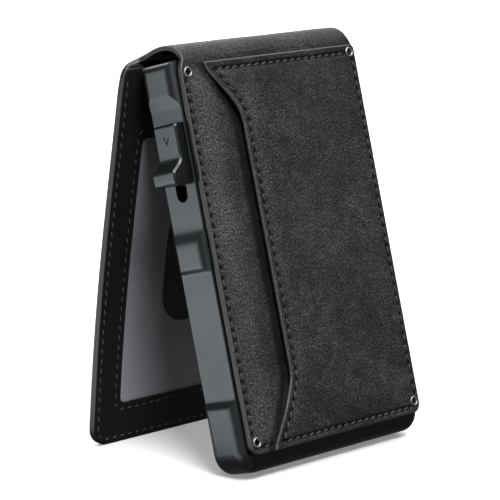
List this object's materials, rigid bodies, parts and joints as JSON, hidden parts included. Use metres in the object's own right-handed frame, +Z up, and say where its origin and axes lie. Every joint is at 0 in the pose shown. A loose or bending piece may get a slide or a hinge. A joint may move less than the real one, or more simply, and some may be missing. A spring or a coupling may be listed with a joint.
{
  "type": "folding card wallet with money clip",
  "caption": "Folding leather card wallet: slim metal card case with a sliding side trigger, a money clip on its back and a hinged leather flap with an identity window.",
  "frame": {"origin": "middle of the bounding box, on the surface the wallet stands on", "axes": "+Z up; +X across the wallet, away from the trigger; +Y from the leather front towards the flap"},
  "size_m": [0.0732, 0.0558, 0.1049],
  "materials": {
    "case_metal": "satin gunmetal anodising",
    "leather": "charcoal distressed leather, waxed, with grey painted edges",
    "lining": "smooth black lining leather",
    "window_film": "clear film with a soft grey haze",
    "board": "dark stiffening board",
    "inner_plastic": "moulded black acetal",
    "spring_steel": "spring wire",
    "clip_steel": "brushed spring steel",
    "screw_steel": "small machine screws",
    "eyelet_steel": "bright nickel plating",
    "grip_rubber": "thin silicone strip"
  },
  "bodies": {
    "case": {"case_left_rail": "case_metal", "case_right_rail": "case_metal", "case_front_plate": "case_metal", "case_back_plate": "case_metal", "case_top_cap": "case_metal", "case_mouth_bezel": "case_metal", "plate_screws": "screw_steel", "card_grip_strips": "grip_rubber", "front_backing_board": "board", "front_leather_panel": "leather", "pocket_panel": "leather", "corner_eyelets": "eyelet_steel", "spine_leather": "leather", "money_clip_base": "clip_steel", "money_clip_bend": "clip_steel", "money_clip_rivets": "eyelet_steel", "return_spring": "spring_steel"},
    "trigger": {"trigger_button": "case_metal", "trigger_screws": "screw_steel", "card_pusher": "inner_plastic"},
    "clip_arm": {"money_clip_arm": "clip_steel"},
    "flap": {"flap_lining": "lining", "id_window_film": "window_film", "flap_stiffener": "board", "flap_outer_leather": "leather"}
  },
  "joints": [
    {"name": "flap_fold", "type": "hinge", "parent": "case", "child": "flap", "pos_m": [0, 0.01054, 0.1001], "axis": [1, 0, 0], "range_deg": [-17.5, 150], "deforming": ["spine_leather"]},
    {"name": "trigger_slide", "type": "slide", "parent": "case", "child": "trigger", "axis": [0, -0.2571, -0.9664], "range_m": [0, 0.01], "stiffness_N_per_m": 150, "springref_m": -0.003, "deforming": ["return_spring"]},
    {"name": "clip_flex", "type": "hinge", "parent": "case", "child": "clip_arm", "pos_m": [0, 0.00513, 0.07102], "axis": [1, 0, 0], "range_deg": [0, 5], "stiffness_Nm_per_rad": 1.5, "springref_deg": -1.72, "deforming": ["money_clip_bend"]}
  ]
}
